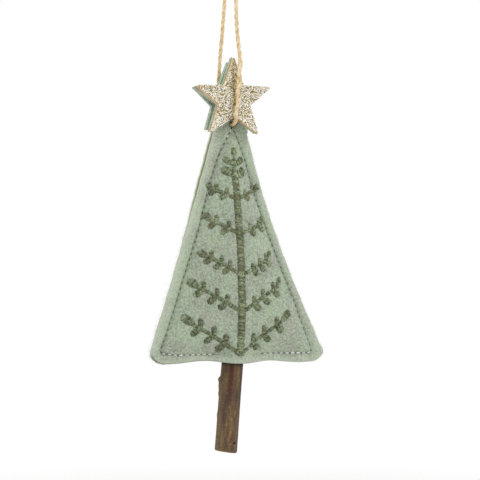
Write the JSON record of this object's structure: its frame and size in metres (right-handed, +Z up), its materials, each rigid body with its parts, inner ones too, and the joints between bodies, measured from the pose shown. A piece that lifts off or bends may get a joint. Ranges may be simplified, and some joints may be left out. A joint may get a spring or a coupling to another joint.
{
  "type": "felt christmas tree ornament",
  "caption": "Stuffed felt Christmas tree ornament with an embroidered sprig, a twig trunk and a glittered star, hung by a loop of twine.",
  "frame": {"origin": "inside the top of the hanging loop, where a branch or hook holds it", "axes": "+Z up along the twine, -Y towards the embroidered front, +X to the viewer's right"},
  "size_m": [0.0754, 0.0195, 0.2423],
  "materials": {
    "felt": "heathered wool felt",
    "wadding": "loose white filling",
    "bark": "natural rough bark",
    "wood": "sawn",
    "thread": "matte sewing thread",
    "floss": "satin stitch",
    "board": "pressed fibre",
    "glitter": "glitter",
    "glue": "clear satin",
    "twine": "twisted jute"
  },
  "bodies": {
    "hanger": {"twine_front": "twine", "twine_back": "twine", "twine_knot": "twine", "twine_tail_left": "twine", "twine_tail_right": "twine"},
    "ornament": {"front_felt": "felt", "back_felt": "felt", "wadding": "wadding", "twig_bark": "bark", "twig_wood": "wood", "twig_glue": "glue", "needle_thread": "thread", "bobbin_thread": "thread", "trunk_embroidery": "floss", "finial_embroidery": "floss", "spray_left_1": "floss", "spray_right_1": "floss", "spray_left_2": "floss", "spray_right_2": "floss", "spray_left_3": "floss", "spray_right_3": "floss", "spray_left_4": "floss", "spray_right_4": "floss", "spray_left_5": "floss", "spray_right_5": "floss", "star_felt_front": "felt", "star_board": "board", "star_glitter": "glitter", "star_felt_back": "felt", "star_glue_front_left": "glue", "star_glue_front_right": "glue", "star_glue_back_left": "glue", "star_glue_back_right": "glue"}
  },
  "joints": [
    {"name": "hanger_swing", "type": "hinge", "parent": "hanger", "child": "ornament", "pos_m": [0, 0, -0.09], "axis": [0, 1, 0], "range_deg": [-20, 20]}
  ]
}
